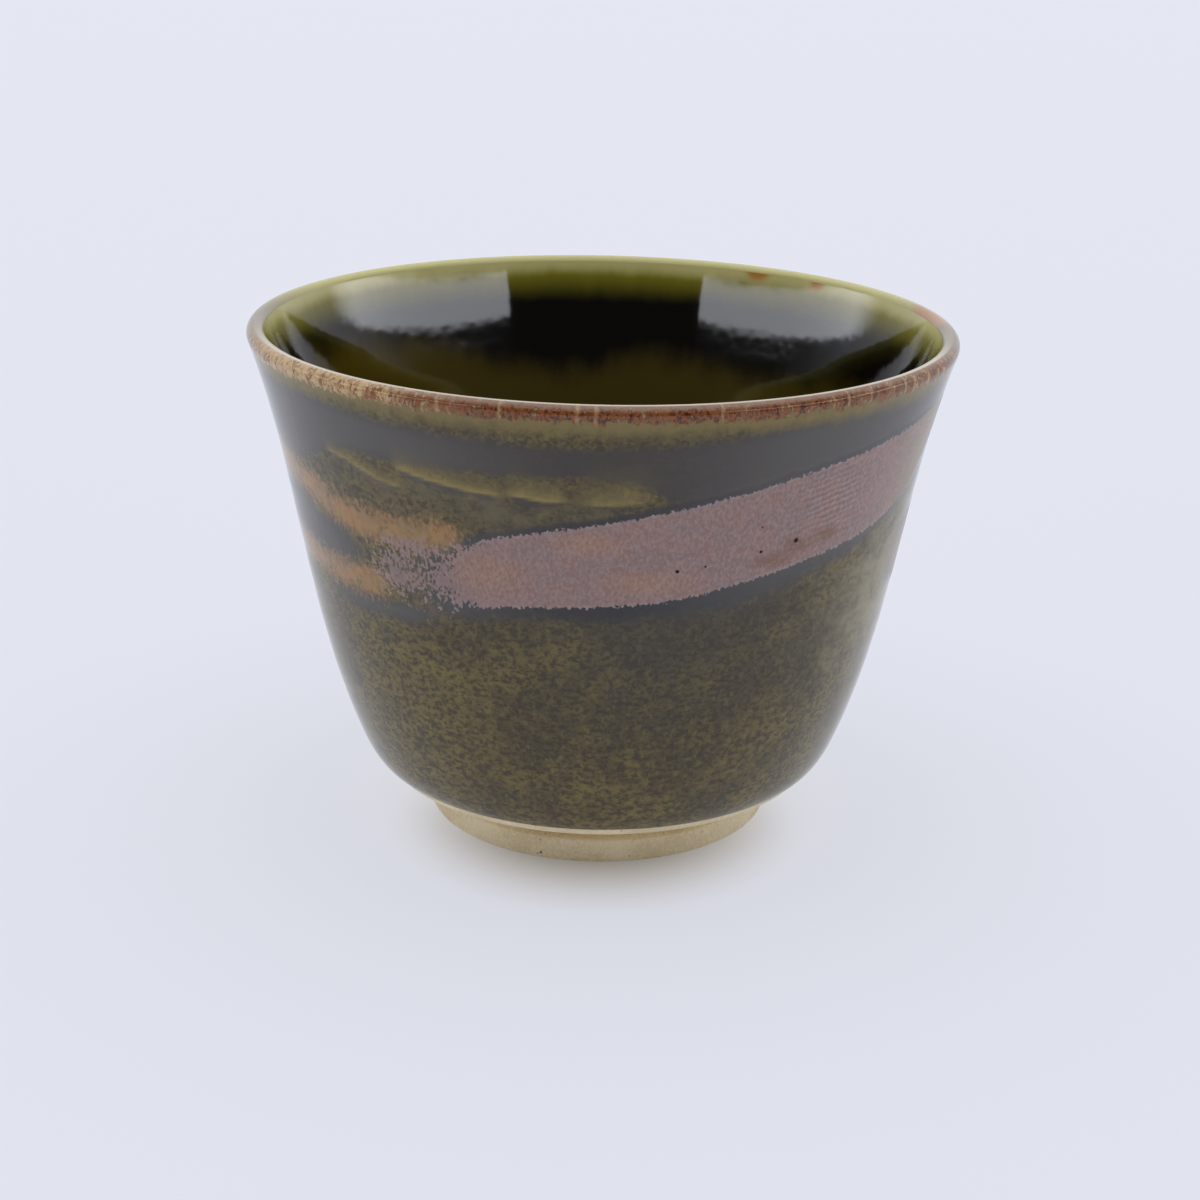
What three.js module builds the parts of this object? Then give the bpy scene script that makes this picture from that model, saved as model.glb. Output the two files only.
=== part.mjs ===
// Conical stoneware tea cup: a thrown clay body on a turned foot ring, glazed inside and out,
// with a thin rust-brown lip and a brushed stroke that winds once round the wall.
// Millimetres, +Z up. The origin is the centre of the foot's resting face, and -Y is the front.
import * as THREE from "three";

// Overall sizes, over the glaze
const CUP_HEIGHT = 64;
const RIM_RADIUS = 44;
const RIM_DROP = 0.76; // the rim's right side sits this much lower than its left, from the firing

// Wall outside: it leaves the haunch and reaches the lip leaning out by these angles
const HAUNCH_RADIUS = 31.4;
const HAUNCH_HEIGHT = 11.5;
const HAUNCH_LEAN_DEG = 21.7;
const HAUNCH_TURN_DROP = 2.7; // the wall line runs on this far below the haunch before it turns in
const LIP_LEAN_DEG = 18.5;

// Lip: the clay's own width, half round on top
const LIP_CLAY_WIDTH = 1.3;
const RIM_COAT_DROP = 0.9; // how far the brown coat runs down the outside below the round lip

// Inside: thickness of the glazed wall at the haunch, thickness of the floor and its flat middle
const WALL_AT_HAUNCH = 4.6;
const FLOOR_THICKNESS = 5.4;
const FLOOR_RADIUS = 17;
const INNER_CURVE_RISE = 6.6;
const INNER_LOW_LEAN_DEG = 17.5;
const INNER_LIP_LEAN_DEG = 19.5;

// Glaze coats
const GLAZE_THICKNESS = 0.45;
const GLAZE_EDGE_THICKNESS = 0.15;
const GLAZE_EDGE_RADIUS = 29.2;
const GLAZE_EDGE_HEIGHT = 7.8;

// Bare clay ledge under the glaze line
const LEDGE_RADIUS = 27.9;
const LEDGE_RISE = 1.6; // from the foot's seat up to the ledge

// Foot ring, with a turned groove between its wall and the body
const FOOT_HEIGHT = 5;
const FOOT_RADIUS = 22.4;
const FOOT_DRAFT = 0.2;
const FOOT_CHAMFER = 0.2;
const FOOT_WALL_HEIGHT = 3.1;
const FOOT_RING_WIDTH = 4.2;
const FOOT_WELL_DRAFT = 0.6;
const GROOVE_DEPTH = 1.2;
const GROOVE_SLOPE = 0.4;

// Brushed strokes: turn is counted from the front, positive to the right, and drop is how far the
// stroke's middle lies below the rim. A stroke climbs at a steady rate.
const STROKE_THICKNESS = 0.2;
const STROKE_CLEARANCE = 0.05;
const STROKE_END_LENGTH = 9;
const STROKE_END_SHARE = 0.2; // of the width that is left at a stroke's very end
const FRONT_STROKE = { startDeg: -38, endDeg: 80, startDrop: 23.4, endDrop: 10.5, width: 10.8 };
const BACK_STROKE = { startDeg: 64, endDeg: 312, startDrop: 28, endDrop: 22, width: 10.4 };

// Facets
const AROUND = 60;
const HAUNCH_STEPS = 3;
const WALL_STEPS = 7;
const LIP_STEPS = 6;
const INNER_STEPS = 5;
const INNER_CURVE_STEPS = 3;
const STROKE_STEP_DEG = 4;
const STROKE_ROWS = 3;

const { degToRad, lerp } = THREE.MathUtils;

// A wall line from low to high, with its lean at each end. Its height grows evenly along the curve.
function wallCurve(low, lowLeanDeg, high, highLeanDeg) {
  const third = (high.y - low.y) / 3;
  const afterLow = new THREE.Vector2(low.x + third * Math.tan(degToRad(lowLeanDeg)), low.y + third);
  const beforeHigh = new THREE.Vector2(high.x - third * Math.tan(degToRad(highLeanDeg)), high.y - third);
  return new THREE.CubicBezierCurve(low, afterLow, beforeHigh, high);
}

// Half round lip over the glaze: centre, radius, and the angles where the two walls meet it.
const lipRadius = LIP_CLAY_WIDTH / 2 + GLAZE_THICKNESS;
const lipCentre = new THREE.Vector2(RIM_RADIUS - lipRadius, CUP_HEIGHT - lipRadius);
const lipStart = -degToRad(LIP_LEAN_DEG);
const lipEnd = Math.PI - degToRad(INNER_LIP_LEAN_DEG);

function lipPoint(angle) {
  const x = lipCentre.x + lipRadius * Math.cos(angle);
  const y = lipCentre.y + lipRadius * Math.sin(angle);
  return new THREE.Vector2(x, y);
}

// Outside of the finished cup, from the glaze line up to the lip's outer shoulder. The last step
// is the part of the wall that the brown coat covers.
function outsideLine() {
  const edge = new THREE.Vector2(GLAZE_EDGE_RADIUS, GLAZE_EDGE_HEIGHT);
  const haunch = new THREE.Vector2(HAUNCH_RADIUS, HAUNCH_HEIGHT);
  const shoulder = lipPoint(lipStart);
  const pull = new THREE.Vector2(
    HAUNCH_RADIUS - HAUNCH_TURN_DROP * Math.tan(degToRad(HAUNCH_LEAN_DEG)),
    HAUNCH_HEIGHT - HAUNCH_TURN_DROP,
  );
  const turn = new THREE.QuadraticBezierCurve(edge, pull, haunch);
  const wall = wallCurve(haunch, HAUNCH_LEAN_DEG, shoulder, LIP_LEAN_DEG);
  const coatShare = 1 - RIM_COAT_DROP / (shoulder.y - haunch.y);
  const line = turn.getPoints(HAUNCH_STEPS);
  for (let step = 1; step <= WALL_STEPS; step += 1) {
    line.push(wall.getPoint((coatShare * step) / WALL_STEPS));
  }
  return line;
}

// Lip from its outer shoulder over the crest to its inner shoulder.
function lipLine() {
  const line = [];
  for (let step = 0; step <= LIP_STEPS; step += 1) {
    line.push(lipPoint(lerp(lipStart, lipEnd, step / LIP_STEPS)));
  }
  return line;
}

// Inside of the finished cup, from below the lip's inner shoulder down to the middle of the floor.
function insideLine() {
  const floorHeight = FOOT_HEIGHT + FLOOR_THICKNESS;
  const low = new THREE.Vector2(HAUNCH_RADIUS - WALL_AT_HAUNCH, floorHeight + INNER_CURVE_RISE);
  low.x += (low.y - HAUNCH_HEIGHT) * Math.tan(degToRad(INNER_LOW_LEAN_DEG));
  const pull = new THREE.Vector2(
    low.x - INNER_CURVE_RISE * Math.tan(degToRad(INNER_LOW_LEAN_DEG)),
    floorHeight,
  );
  const floorEdge = new THREE.Vector2(FLOOR_RADIUS, floorHeight);
  const wall = wallCurve(low, INNER_LOW_LEAN_DEG, lipPoint(lipEnd), INNER_LIP_LEAN_DEG);
  const turn = new THREE.QuadraticBezierCurve(low, pull, floorEdge);
  const down = wall.getPoints(INNER_STEPS).reverse().slice(1);
  return [...down, ...turn.getPoints(INNER_CURVE_STEPS).slice(1), new THREE.Vector2(0, floorHeight)];
}

// The clay lies under the finished line by the glaze's thickness, square to it.
function clayUnder(line) {
  return line.map((point, index) => {
    const before = line[Math.max(index - 1, 0)];
    const after = line[Math.min(index + 1, line.length - 1)];
    const along = after.clone().sub(before).normalize();
    const thickness = index === 0 ? GLAZE_EDGE_THICKNESS : GLAZE_THICKNESS;
    if (point.x === 0) return new THREE.Vector2(0, point.y - thickness);
    return new THREE.Vector2(point.x - along.y * thickness, point.y + along.x * thickness);
  });
}

const outside = outsideLine();
const finished = [...outside, ...lipLine(), ...insideLine()];
const clay = clayUnder(finished);
const rimFrom = outside.length - 1;
const rimTo = outside.length + LIP_STEPS;

// The firing let one side of the rim down: every point sinks in step with its height.
function settle(geometry) {
  const position = geometry.getAttribute("position");
  const slope = RIM_DROP / (2 * RIM_RADIUS * CUP_HEIGHT);
  for (let index = 0; index < position.count; index += 1) {
    const height = position.getZ(index);
    position.setZ(index, height - slope * position.getX(index) * height);
  }
  geometry.computeVertexNormals();
  return geometry;
}

// Turn a profile of radius and height about the cup's axis. Turn 0 is the front.
function turned(profile) {
  const geometry = new THREE.LatheGeometry(profile, AROUND);
  geometry.rotateX(Math.PI / 2);
  return settle(geometry);
}

// One coat of glaze between two places on the finished line, lying on the clay. Its profile runs
// along the clay the way the body's does, so both have the same facets there, and the faces that
// this turns inwards are turned back.
function coat(from, to) {
  const loop = [...finished.slice(from, to + 1).reverse(), ...clay.slice(from, to + 1)];
  if (loop[0].x > 0) loop.push(loop[0]);
  const geometry = turned(loop);
  const corners = geometry.getIndex();
  for (let first = 0; first < corners.count; first += 3) {
    const second = corners.getX(first + 1);
    corners.setX(first + 1, corners.getX(first + 2));
    corners.setX(first + 2, second);
  }
  geometry.computeVertexNormals();
  return geometry;
}

// Clay wall and floor: flat seat underneath, sloping underside, ledge, wall, lip and inside.
function clayBody() {
  const seatRadius = FOOT_RADIUS - GROOVE_DEPTH;
  const profile = [
    new THREE.Vector2(0, FOOT_HEIGHT),
    new THREE.Vector2(seatRadius, FOOT_HEIGHT),
    new THREE.Vector2(LEDGE_RADIUS, FOOT_HEIGHT + LEDGE_RISE),
    ...clay,
  ];
  return turned(profile);
}

// Foot ring: flat resting face with a small chamfer, drafted wall, groove, and an open well.
function footRing() {
  const inner = FOOT_RADIUS - FOOT_RING_WIDTH;
  const base = FOOT_RADIUS - FOOT_DRAFT;
  const neck = FOOT_RADIUS - GROOVE_DEPTH;
  const profile = [
    new THREE.Vector2(inner, 0),
    new THREE.Vector2(base - FOOT_CHAMFER, 0),
    new THREE.Vector2(base, FOOT_CHAMFER),
    new THREE.Vector2(FOOT_RADIUS, FOOT_WALL_HEIGHT),
    new THREE.Vector2(neck, FOOT_WALL_HEIGHT + GROOVE_SLOPE),
    new THREE.Vector2(neck, FOOT_HEIGHT),
    new THREE.Vector2(inner - FOOT_WELL_DRAFT, FOOT_HEIGHT),
    new THREE.Vector2(inner, 0),
  ];
  return turned(profile);
}

// Radius of the glazed outside at a height.
function outsideRadius(height) {
  const above = outside.findIndex((point) => point.y >= height);
  const high = outside[above];
  const low = outside[above - 1];
  return lerp(low.x, high.x, (height - low.y) / (high.y - low.y));
}

// A brushed stroke: a thin slab bent round the wall, with its two ends drawn in.
function stroke({ startDeg, endDeg, startDrop, endDrop, width }) {
  const columns = Math.round((endDeg - startDeg) / STROKE_STEP_DEG);
  const geometry = new THREE.BoxGeometry(1, 1, 1, columns, STROKE_ROWS, 1);
  const position = geometry.getAttribute("position");
  for (let index = 0; index < position.count; index += 1) {
    const along = position.getX(index) + 0.5;
    const turn = degToRad(lerp(startDeg, endDeg, along));
    const middle = CUP_HEIGHT - lerp(startDrop, endDrop, along);
    const arc = degToRad(endDeg - startDeg) * outsideRadius(middle);
    const toEnd = Math.min(Math.min(along, 1 - along) * arc, STROKE_END_LENGTH) / STROKE_END_LENGTH;
    const round = Math.sqrt(1 - (1 - toEnd) ** 2);
    const height = middle + position.getY(index) * width * lerp(STROKE_END_SHARE, 1, round);
    const lift = STROKE_CLEARANCE + (position.getZ(index) + 0.5) * STROKE_THICKNESS;
    const radius = outsideRadius(height) + lift;
    position.setXYZ(index, radius * Math.sin(turn), -radius * Math.cos(turn), height);
  }
  return settle(geometry);
}

function piece(name, geometry, color, roughness) {
  const material = new THREE.MeshStandardMaterial({ color, roughness, metalness: 0 });
  const mesh = new THREE.Mesh(geometry, material);
  mesh.name = name;
  return mesh;
}

const cup = new THREE.Group();
cup.name = "conical_cup";
cup.add(piece("clay_body", clayBody(), 0xb9a98a, 0.85));
cup.add(piece("foot_ring", footRing(), 0xb5a582, 0.85));
cup.add(piece("outer_glaze", coat(0, rimFrom), 0x57502f, 0.12));
cup.add(piece("rim_glaze", coat(rimFrom, rimTo), 0x6d4630, 0.25));
cup.add(piece("liner_glaze", coat(rimTo, finished.length - 1), 0x2b2a14, 0.08));
cup.add(piece("brush_stroke_front", stroke(FRONT_STROKE), 0x7d625f, 0.35));
cup.add(piece("brush_stroke_back", stroke(BACK_STROKE), 0x86634f, 0.35));

export default cup;
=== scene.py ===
import math
from functools import partial

import bpy
import numpy as np
from bpy.props import FloatProperty, FloatVectorProperty, IntProperty, PointerProperty
from mathutils import Matrix, Vector


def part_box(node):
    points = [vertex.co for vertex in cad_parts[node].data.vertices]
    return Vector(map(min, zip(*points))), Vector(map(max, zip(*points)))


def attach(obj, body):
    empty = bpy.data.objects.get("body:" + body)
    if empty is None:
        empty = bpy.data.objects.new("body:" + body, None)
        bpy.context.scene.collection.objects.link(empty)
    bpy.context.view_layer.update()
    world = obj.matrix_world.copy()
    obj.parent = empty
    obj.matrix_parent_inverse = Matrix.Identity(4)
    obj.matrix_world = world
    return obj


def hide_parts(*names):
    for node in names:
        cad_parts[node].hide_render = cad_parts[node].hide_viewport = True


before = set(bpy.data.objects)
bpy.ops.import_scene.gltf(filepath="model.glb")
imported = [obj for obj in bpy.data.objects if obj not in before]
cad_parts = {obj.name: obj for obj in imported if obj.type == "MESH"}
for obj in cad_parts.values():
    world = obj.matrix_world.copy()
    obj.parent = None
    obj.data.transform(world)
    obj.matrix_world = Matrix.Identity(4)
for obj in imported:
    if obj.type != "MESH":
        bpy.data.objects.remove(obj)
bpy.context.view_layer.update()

bl_info = {
    "name": "Conical stoneware cup",
    "version": (1, 0, 0),
    "blender": (4, 5, 0),
    "location": "View3D > Sidebar > Cup",
    "description": "Clay, glazes, brushed strokes and stage of a conical tea cup, around its solids",
    "category": "Object",
}

BODY = "root"
MM = 0.001
FIT = 0.6 * MM  # how far a dressed piece's box may lie from its solid's
CRISP = 0.04  # share of a coat's first and last span that turns its edge
MERGE = 0.002 * MM  # points nearer than this become one
SEED = 3.0  # of the hand's wobble
SLOW_WAVE = 1.7  # radians of the tool's slower swing for each tool line

# Steps along the profiles and round the pieces.
HAUNCH_STEPS = 14
WALL_STEPS = 170
LIP_STEPS = 28
CLAY_LIP_STEPS = 24
INNER_WALL_STEPS = 70
INNER_CURVE_STEPS = 20
INNER_FLOOR_STEPS = 6
CLAY_SIDE_THINNING = 6  # the hidden side of a coat keeps one point in so many
CLAY_THINNING = 2  # and so does the clay under the coats
ROUND_STEPS = 4
LEDGE_POINTS, FOOT_POINTS = 4, 5  # points for each tool line
NUDGES = 5  # places that a line's eased height is the mean of
CLAY_FACETS = 240
FOOT_FACETS = 300
LINER_FACETS = 360
FLOOR_FACETS = 96

# Marks on the outer wall. A turn is in degrees from the front, positive to the right, and a height
# is in millimetres above the table, before the rim's lean. A stretch is two turns or two heights
# between which a mark comes in.
FRONT_TOP = ((-37, 42), (-32, 43.6), (-27, 45), (-20, 46.8), (-13, 48.2), (5, 50.6), (34, 54.6),
             (48, 56), (64, 57.6), (80, 58.2))
FRONT_BOTTOM = ((-37, 38.8), (-32, 38), (-24, 38.1), (-14, 39.1), (12, 40.2), (28, 42.4), (51, 44.9),
                (60, 46.5), (67, 48.5), (80, 56))
BACK_MIDDLE = ((60, 39), (95, 38.8), (150, 39.6), (205, 41), (255, 42), (312, 42))
BACK_HALF_WIDTH = ((60, 5.2), (100, 4.8), (150, 5.6), (205, 4.9), (260, 4.2), (312, 3.4))
HAND_WAVER = ((11, 0.3), (23, 0.2))  # swings in a whole turn, and millimetres
ARC = 0.65  # millimetres round the wall for each degree, at the strokes' height
FRONT_DRY = (-19, -31)  # stretch over which the brush runs dry at the front stroke's start
FRONT_LOSS = (0.6, -25, -38)  # millimetres of cover lost there, and the stretch of that loss
BACK_DRY = (150, 290)
BACK_LOSS = (12.0, 190, 295)
BACK_START = (56, 76)  # stretch over which the back stroke's slip thickens
BACK_START_DRY = 0.5  # dryness before that stretch
COVER_LIMIT = 12.0  # millimetres, the deepest value of the slip's mark, inside or outside
# Places where the dry brush left only grains: turn, height, half sizes in degrees and millimetres.
FRAYED_SPOTS = ((-33, 44.6, 10, 1.8), (-36, 41, 9, 4.2))
FRAYED_COVER = (-6.0, 4.3)  # cover, in millimetres, outside such a place and in its middle
FRAYED_SLATE = 0.45  # share of slate between those grains
# The dark edge round a stroke: how far out it starts to fade, and how far it reaches above and below.
HALO_START = 0.2
HALO_ABOVE = 1.5
HALO_BELOW = ((-180, 3), (-50, 2.4), (-10, 3), (25, 5.5), (45, 3.5), (58, 1.2), (90, 2.5), (180, 3))
# The greyer glaze under the front stroke: strength, reach in millimetres, and its two stretches.
HAZE = (0.6, 24.0, (-30, 15), (58, 12))
# The slate band under the lip: its upper and lower lines, and the stretch across each, in millimetres.
SLATE_TOP = ((-180, 59.5), (-90, 60.5), (-55, 60.4), (-31, 59), (0, 58.4), (14, 59), (30, 60.2),
             (45, 61.2), (70, 61.2), (110, 60), (180, 59.5))
SLATE_BOTTOM = ((-180, 54), (-90, 52.5), (-60, 51), (-46, 54.6), (-30, 54.8), (0, 55.4), (7, 54.2),
                (13, 51.5), (25, 52), (60, 54), (180, 54))
SLATE_TOP_FADE = (2.2, -1)
SLATE_BOTTOM_FADE = (-1.2, 1.6)
# Dark glaze between the tan tracks and under them: middle line and half width.
DARK_GAPS = (
    (((-135, 43.5), (-95, 44), (-66, 44), (-58, 42.6), (-50, 42), (-40, 41.5)), 3.4),
    (((-66, 35.2), (-50, 35.4), (-40, 35.6), (-24, 36.6)), 1.5),
)
DARK_GAP_ENDS = (20, 12)  # degrees over which such a line fades at its two ends
# Tan tracks where the dry brush came round from the back: middle line and half width.
OCHRE_TRACKS = (
    (((-145, 46.8), (-110, 48.8), (-65, 49.3), (-57, 48), (-50, 46.7), (-44, 46.1), (-36, 46),
      (-28, 46.4), (-18, 47.2)), 2.5),
    (((-145, 40.2), (-110, 38.8), (-65, 38.8), (-55, 38.4), (-47, 38.4), (-34, 39)), 2.3),
)
OCHRE_ENDS = (25, 10)
# Each streak: its lower edge, its strength, and the height over which it fades upwards, which is also how
# far the painted shade under that edge reaches down.
STREAKS = (
    (((-50, 54.2), (-44, 53.6), (-38, 52.2), (-32, 51.8)), 0.9, 0.6),
    (((-35, 54.4), (-28, 53.5), (-20, 52.8), (-14, 52.6)), 1.0, 0.9),
    (((-22, 52.1), (-18.5, 51.7)), 0.6, 0.6),
    (((-16, 53.0), (-12, 52.8), (-9, 52.4), (-4, 52.5)), 1.0, 1.0),
    (((-6, 52.5), (0, 52.2), (5, 52.4), (10, 52.8)), 0.65, 1.8),
    (((95, 53.5), (112, 52.6), (125, 52.4)), 0.8, 1.0),
    (((150, 54.0), (165, 53.0), (178, 52.8)), 0.8, 1.0),
    (((-150, 53.6), (-130, 52.7), (-115, 52.5)), 0.9, 1.0),
)
STREAK_EDGE = 0.18  # half height of a streak's sharp lower edge
STREAK_END = 3.5  # degrees of fading at a streak's ends for each millimetre of fading upwards
# Soft spots by the mark they make: turn, height, and half sizes in degrees and millimetres.
SPOTS = {
    "warm": ((-19, 43, 8, 3), (-2, 47.5, 7, 1.8), (8, 42.6, 10, 1.6)),  # pinker places in the stroke
    "brown": ((30, 44.2, 6, 1.4), (34, 45.5, 5, 1.6), (40, 46.3, 5, 1.4)),  # browner places in it
    "comb": ((40, 50.3, 7, 4.5),),  # where the brush's hairs left lines
    "calm": ((-20, 50.5, 26, 3.0),),  # smoother, greyer glaze between the streaks and the stroke
    "pale": ((64, 36, 20, 12),),  # light glaze at the right, under the stroke
    "rosy_lip": ((100, 64.9, 8, 1.5),),  # on the lip, where heights run on over it
}
# Marks that follow the turn alone: in each place a strength, and the stretches where it comes in.
SIDES = {
    "thin": ((1, (-8, -45), (-178, -130)),),
    # Slate painted paler round to the sides: a painted reflection of the bright room near the outline.
    "far": ((1, (2, 34)), (1, (-2, -34))),
    "fading": ((1, (46, 72), (130, 95)),),
    "pale_lip": ((1, (-16, -40)), (0.4, (25, 60))),
    # Lip painted pale grey-beige at its left and right ends: a painted highlight.
    "beige_lip": ((1, (-60, -82)), (1, (62, 80))),
    "green_lip": ((1, (88, 122)), (1, (-88, -122))),
}
THIN_LOW = (0.6, 28, 12)  # strength and stretch of the thinner glaze low on the wall
PINHOLES = ((12.5, 44.0, 0.23), (26.9, 45.5, 0.2), (33.6, 46.2, 0.31), (17.2, 44.4, 0.14),
            (26.5, 48.6, 0.13))  # turn, height and radius
PINHOLE_FLATNESS = 0.3
LIP_DRIPS = (-52, -44, -37.5, -31, -24, -14.4, -3.4, -0.8, 17, 38, 51)  # turns of pale drips
DRIP_HALF = 0.4
INNER_SPOTS = ((149, 63.2, 3.0, 1.0), (135.5, 63.0, 2.2, 0.9))  # orange places just inside the lip
# Where the liner's olive floor ends on the inside wall, as turn from 0 to 360 and height.
INNER_OLIVE = ((0, 54), (90, 53), (134, 50.7), (142, 49.8), (154, 50.3), (167, 51.5), (180, 49.6),
               (189, 48.9), (203, 50.4), (212, 52.9), (221, 54.7), (231, 56), (241, 56.5), (270, 56),
               (360, 54))
FAR_OUTSIDE = -6.0  # millimetres, the least value of the mark that cuts a stroke out of the wall
STROKE_INSIDE = 0.5  # millimetres inside its edge where a stroke has its full lift
STROKE_SUNK = -0.5  # share of the lift by which its outermost edge is sunk

# The glaze's own mottle: size of a grain in millimetres, its squeeze in height, and its detail.
GRAINS = {
    "pool": (9.0, 1.0, 2),
    "patch": (3.2, 1.5, 3),
    "fine": (0.85, 1.5, 2),
    "speck": (0.8, 0.7, 2),
    "fleck": (0.6, 1.0, 2),
    "grit": (0.4, 0.7, 1),
    "drip": (1.6, 0.25, 2),
}
GRAIN_ROUGHNESS = 0.65
COMB_SPACING = 0.75  # millimetres between the lines that the brush's hairs left
# Sums of marks and grains, which make a mark's edge ragged: a start, and a share of each.
MIXES = {
    "clouds": (0, {"thin": 0.08, "pool": 0.6, "patch": 0.4}),
    "milky": (0, {"pale": 1, "patch": 1.2}),
    "slate_cloud": (0, {"slate": 1, "patch": 0.7}),
    "halo_cloud": (0, {"halo": 1, "patch": 1}),
    "fringe_line": (0, {"rise": 1, "drip": 1.6, "patch": 1.4}),
    "worn": (0, {"ochre": 1, "speck": 1.2, "grit": 0.8}),
    "warm_cloud": (0, {"warm": 1, "patch": 0.8}),
    "brown_cloud": (0, {"brown": 1, "patch": 0.8}),
    "fading_cloud": (0, {"fading": 1, "patch": 1.2}),
    "crest": (0, {"rise": 1, "fine": 0.8}),
    "tan_breaks": (0, {"pale_lip": 0.2, "grit": 0.6, "drip": 0.5}),
    "tan_strength": (0.55, {"pale_lip": 0.37}),
    "drip_breaks": (0, {"lip_drip": 1, "fine": 0.8}),
    "rosy_cloud": (0, {"rosy_lip": 1, "patch": 0.6}),
    "lip_line": (0, {"rise": 1, "patch": 1.6, "speck": 2.4}),
    "combing": (0, {"across": math.tau / COMB_SPACING, "patch": 8}),
    "grainy_edge": (-0.6, {"grit": 1.2, "slip": 1}),
    "skipped": (-13, {"speck": 11.25, "grit": 11.25}),
    "soft_inside": (0.1, {"dry": 0.8}),
    "soft_outside": (-0.1, {"dry": -0.8}),
    "cover": (1, {"dry": -0.18}),
}
# Colours laid one over the other: a colour, a strength, and the marks, grains or mixes that it takes,
# as they are or eased in between two values.
GROUND = (
    ("olive_light", 0.85, ("clouds", 0.44, 0.6)),
    ("slate", 0.5, ("patch", 0.45, 0.64), ("rise", 16, 36)),
    ("olive_dark", 0.45, ("patch", 0.45, 0.64), ("rise", 36, 16)),
    ("olive_dark", 0.85, ("fine", 0.41, 0.62)),
    ("fringe", 0.42, ("speck", 0.5, 0.7)),
    ("olive_dark", 0.6, ("fleck", 0.42, 0.32)),
    ("slate", 1, "haze"),
    ("olive_grey", 1, "calm", ("patch", 0.7, 0.3)),
    ("olive_pale", 0.75, ("milky", 0.7, 1.75)),
    ("slate", 0.92, ("slate_cloud", 0.55, 1.15)),
    # Paler slate round to the sides: painted reflection.
    ("slate_pale", 0.28, "slate", "far"),
    ("slate_blue", 0.9, ("halo_cloud", 0.65, 1.5)),
    ("slate_pale", 0.28, "halo", "far"),
    ("streak", 1, "streak"),
    ("fringe", 1, ("fringe_line", 61.2, 63.6)),
    ("ochre", 0.9, ("worn", 1.1, 2.4), ("ochre", 0.03, 0.3)),
    ("slip_brown", 0.5, ("ochre", 0.3, 0.9), ("grit", 0.46, 0.58)),
    ("lip_orange", 0.3, ("ochre", 0.3, 0.9), ("patch", 0.46, 0.62)),
)
SLIP = (
    ("slip_mauve", 0.6, ("patch", 0.42, 0.6)),
    ("slip_warm", 0.9, ("warm_cloud", 0.6, 1.4)),
    ("slip_brown", 0.8, ("brown_cloud", 0.7, 1.4)),
    ("slip_brown", 0.36, ("grit", 0.5, 0.36)),
    ("slip_grain", 0.24, ("grit", 0.52, 0.66)),
    ("slip_grain", 0.6, ("inside", 0.4, 0.05), ("fleck", 0.45, 0.58)),
    ("fringe", 0.6, ("fading_cloud", 0.7, 1.5)),
)
LIP = (
    ("rust_dark", 1, ("grit", 0.46, 0.58)),
    ("lip_top", 0.8, ("crest", 63.9, 64.4)),
    ("rust_tan", 1, ("tan_breaks", 0.6, 0.78), "tan_strength"),
    ("rust_tan", 0.4, ("drip_breaks", 0.8, 1.3)),
    ("rust", 0.45, ("speck", 0.52, 0.66)),
    ("lip_cream", 1, ("rise", 64.25, 64.5)),
    # The lip's painted highlight at its left and right ends.
    ("lip_beige", 0.85, "beige_lip"),
    ("lip_green", 1, "green_lip"),
    ("lip_rosy", 1, ("rosy_cloud", 0.5, 0.9)),
)
ON_LIP = ("lip_line", 63.8, 64.5)  # where the lip's brown breaks into the olive
RELIEF_EDGE = (-0.2, 0.4)  # millimetres inside the slip over which its grain comes in
SATIN_EDGE = (-0.1, 0.2)  # and its satin
GLAZE_ROUGHNESS, SLIP_ROUGHNESS, LIP_ROUGHNESS = 0.07, 0.22, 0.18
COMB_SHADE = 0.2  # how much painted shade and highlight the brush's lines lay on the slip, besides their relief
COMB_RELIEF = 0.5
# The liner, the bare clay and the pinholes, in the same way.
LINER_GRAINS = {"run": (3.0, 0.35, 3), "peel": (2.5, 1.0, 1)}
LINER_MIXES = {
    "pooled": (0, {"depth": 1, "run": -4}),
    "drained": (0, {"rise": 1, "run": 1}),
    "flecked": (0, {"spots": 1, "run": 0.6}),
}
LINER = (
    ("liner_olive", 1, ("pooled", -4, 1.5)),
    ("liner_green", 1, ("drained", 58.2, 63.4)),
    ("lip_green", 1, ("drained", 61.6, 63.6)),
    ("lip_orange", 1, ("flecked", 0.45, 1.2)),
)
CLAY_GRAINS = {"sand": (0.35, 1.0, 3), "cloud": (6.0, 1.0, 2), "iron": (0.9, 1.0, 1)}
CLAY_MIXES = {"sandy": (0, {"sand": 1, "cloud": 1}), "dryness": (0.7, {"sand": 0.2})}
CLAY = (("clay", 1, ("sandy", 0.75, 1.25)), ("iron_speck", 1, ("iron", 0.74, 0.78)))
PINHOLE_GRAINS = {"soot": (0.2, 1.0, 2)}
PINHOLE_MIXES = {"dryness": (0.6, {"soot": 0.2})}
PINHOLE = (("rust_dark", 1, "soot"),)


def linear_rgb(code):
    """Linear colour of an sRGB hex code."""
    parts = [int(code[start:start + 2], 16) / 255 for start in (1, 3, 5)]
    return tuple(p / 12.92 if p <= 0.04045 else ((p + 0.055) / 1.055) ** 2.4 for p in parts)


def length(name, description, millimetres):
    """A length, given in millimetres."""
    return FloatProperty(name=name, description=description, default=millimetres * MM, unit="LENGTH",
                         precision=5)


def angle(name, description, degrees):
    """An angle, given in degrees."""
    return FloatProperty(name=name, description=description, default=math.radians(degrees),
                         subtype="ANGLE")


def amount(name, description, value, **more):
    """A plain number, not below 0."""
    return FloatProperty(name=name, description=description, default=value, min=0, **more)


def colour(name, description, code):
    """A colour, given as an sRGB hex code."""
    return FloatVectorProperty(name=name, description=description, default=linear_rgb(code),
                               subtype="COLOR", size=3, min=0, max=1)


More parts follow.
